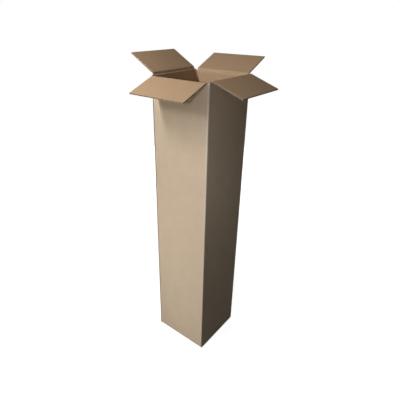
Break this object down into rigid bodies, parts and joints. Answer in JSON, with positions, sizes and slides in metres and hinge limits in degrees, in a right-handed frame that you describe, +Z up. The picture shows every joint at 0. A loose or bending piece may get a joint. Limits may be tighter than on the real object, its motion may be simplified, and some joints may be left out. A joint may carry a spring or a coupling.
{
  "type": "square cardboard mailing tube",
  "caption": "Tall square mailing carton in corrugated board, standing on end, with its top flaps folded open and its bottom flaps closed and taped.",
  "frame": {"origin": "centre of the underside, where the carton stands", "axes": "+Z up the tube, -Y out of the front wall, +X out of the right wall; the glued corner is front left"},
  "size_m": [0.4958, 0.5002, 1.2895],
  "materials": {
    "board": "matte kraft liner",
    "tape": "matte gummed kraft paper"
  },
  "bodies": {
    "tube": {"carton": "board", "bottom_tape": "tape"},
    "front_flap": {"front_flap": "board"},
    "right_flap": {"right_flap": "board"},
    "back_flap": {"back_flap": "board"},
    "left_flap": {"left_flap": "board"}
  },
  "joints": [
    {"name": "front_flap_fold", "type": "hinge", "parent": "tube", "child": "front_flap", "pos_m": [0, -0.13, 1.2155], "axis": [1, 0, 0], "range_deg": [-201.3, 63.7]},
    {"name": "right_flap_fold", "type": "hinge", "parent": "tube", "child": "right_flap", "pos_m": [0.13, 0, 1.2208], "axis": [0, 1, 0], "range_deg": [-200, 65]},
    {"name": "back_flap_fold", "type": "hinge", "parent": "tube", "child": "back_flap", "pos_m": [0, 0.13, 1.2155], "axis": [-1, 0, 0], "range_deg": [-155.4, 109.6]},
    {"name": "left_flap_fold", "type": "hinge", "parent": "tube", "child": "left_flap", "pos_m": [-0.13, 0, 1.2208], "axis": [0, -1, 0], "range_deg": [-150.2, 114.8]}
  ]
}
